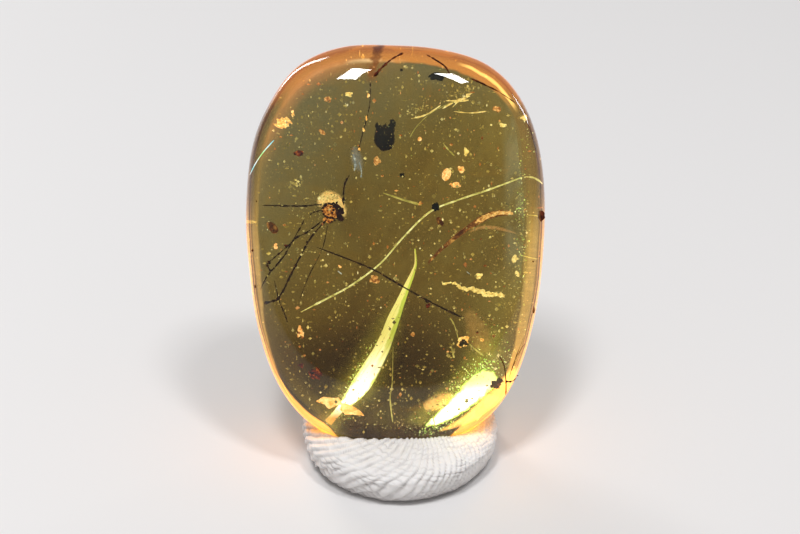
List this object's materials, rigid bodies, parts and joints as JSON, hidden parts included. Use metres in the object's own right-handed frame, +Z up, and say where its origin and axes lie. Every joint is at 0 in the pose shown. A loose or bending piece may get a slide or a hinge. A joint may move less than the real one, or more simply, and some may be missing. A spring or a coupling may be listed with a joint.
{
  "type": "insect in amber",
  "caption": "Polished amber cabochon with a long-legged insect, a beetle, a leaf sliver and plant crumbs sealed inside, leaning back in a foot of white mounting tack.",
  "frame": {"origin": "centre of the tack foot's flat underside", "axes": "+Z up from the surface it stands on, -Y towards the viewer who faces the stone's front, +X to that viewer's right"},
  "size_m": [0.0183, 0.017, 0.0241],
  "materials": {
    "amber": "clear olive-gold fossil resin, orange at the rim, polished",
    "tack": "matt white mounting tack with fine pressed ridges",
    "chitin_brown": "red-brown insect chitin, slightly glossy",
    "chitin_black": "near-black insect chitin",
    "leaf": "bright yellow-green leaf tissue, almost white at its widest",
    "strand": "yellow-green plant strand",
    "bark": "brown feathery seed plume with a tan head",
    "cream_debris": "cream plant crumbs",
    "rust_debris": "dark red bark crumbs",
    "resin_gold": "orange-gold crumbs"
  },
  "bodies": {
    "root": {"amber_front": "amber", "amber_back": "amber", "tack_foot": "tack", "long_legged_insect": "chitin_brown", "beetle": "chitin_black", "loose_leg": "chitin_brown", "root_thread": "chitin_brown", "plant_strand": "strand", "twig_bit": "cream_debris", "seed_plume": "bark", "leaf_sliver": "leaf", "pupa": "chitin_brown", "soot_cluster": "chitin_black", "brown_capsule": "chitin_brown", "bract_left": "resin_gold", "bract_right": "resin_gold", "cream_oval": "cream_debris", "crumb_above_strand": "resin_gold", "crumb_on_strand": "cream_debris", "crumb_left_shoulder": "cream_debris", "dark_crumb": "rust_debris", "crumb_below_beetle": "resin_gold", "crumb_right_shoulder": "cream_debris", "yellow_crumb": "resin_gold", "crumb_by_twig": "cream_debris", "cream_fleck": "cream_debris", "red_bark_chip": "rust_debris", "dark_chip": "chitin_brown", "chip_by_fracture": "rust_debris"}
  },
  "joints": []
}
